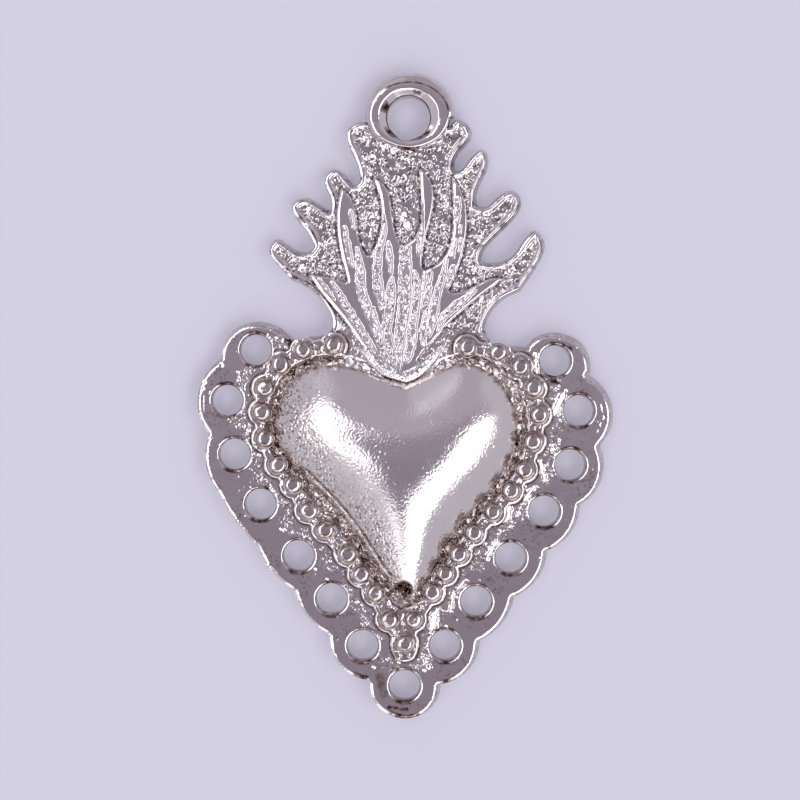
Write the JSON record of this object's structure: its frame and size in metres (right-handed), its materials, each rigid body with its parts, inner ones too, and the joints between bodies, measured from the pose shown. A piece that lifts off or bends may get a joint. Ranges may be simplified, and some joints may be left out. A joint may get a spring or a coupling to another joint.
{
  "type": "milagro charm",
  "caption": "Flat-backed metal milagro charm: a domed heart edged with beads on a pierced scalloped border, topped by flames and a ring to hang it by.",
  "frame": {"origin": "on the axis of the hanging ring's bore, in the plane of the flat back", "axes": "the charm lies on its back: +Z out of the face, +Y from the heart to the ring, +X to the right"},
  "size_m": [0.0384, 0.0598, 0.005],
  "materials": {
    "bright_plate": "bright nickel plating, mirror-like, with a few casting pits",
    "grained_plate": "bright nickel plating over a coarse stippled ground",
    "bright_ring": "bright nickel plating",
    "bright_tongue": "bright nickel plating, smooth strands with fine grained grooves",
    "bead_metal": "bright nickel plating, dull in the hollows",
    "satin_dome": "satin nickel plating, scratched on the left flank"
  },
  "bodies": {
    "root": {"border_plate": "bright_plate", "flame_plate": "grained_plate", "hanging_ring": "bright_ring", "heart_dome": "satin_dome", "bead_ledge": "bead_metal", "flame_collar": "bright_tongue", "flame_tongue_1": "bright_tongue", "flame_tongue_2": "bright_tongue", "flame_tongue_3": "bright_tongue", "flame_tongue_4": "bright_tongue", "flame_tongue_5": "bright_tongue", "flame_tongue_6": "bright_tongue", "bead_left_01": "bead_metal", "bead_left_02": "bead_metal", "bead_left_03": "bead_metal", "bead_left_04": "bead_metal", "bead_left_05": "bead_metal", "bead_left_06": "bead_metal", "bead_left_07": "bead_metal", "bead_left_08": "bead_metal", "bead_left_09": "bead_metal", "bead_left_10": "bead_metal", "bead_left_11": "bead_metal", "bead_left_12": "bead_metal", "bead_left_13": "bead_metal", "bead_left_14": "bead_metal", "bead_right_01": "bead_metal", "bead_right_02": "bead_metal", "bead_right_03": "bead_metal", "bead_right_04": "bead_metal", "bead_right_05": "bead_metal", "bead_right_06": "bead_metal", "bead_right_07": "bead_metal", "bead_right_08": "bead_metal", "bead_right_09": "bead_metal", "bead_right_10": "bead_metal", "bead_right_11": "bead_metal", "bead_right_12": "bead_metal", "bead_right_13": "bead_metal", "bead_right_14": "bead_metal", "bead_tip": "bead_metal"}
  },
  "joints": []
}
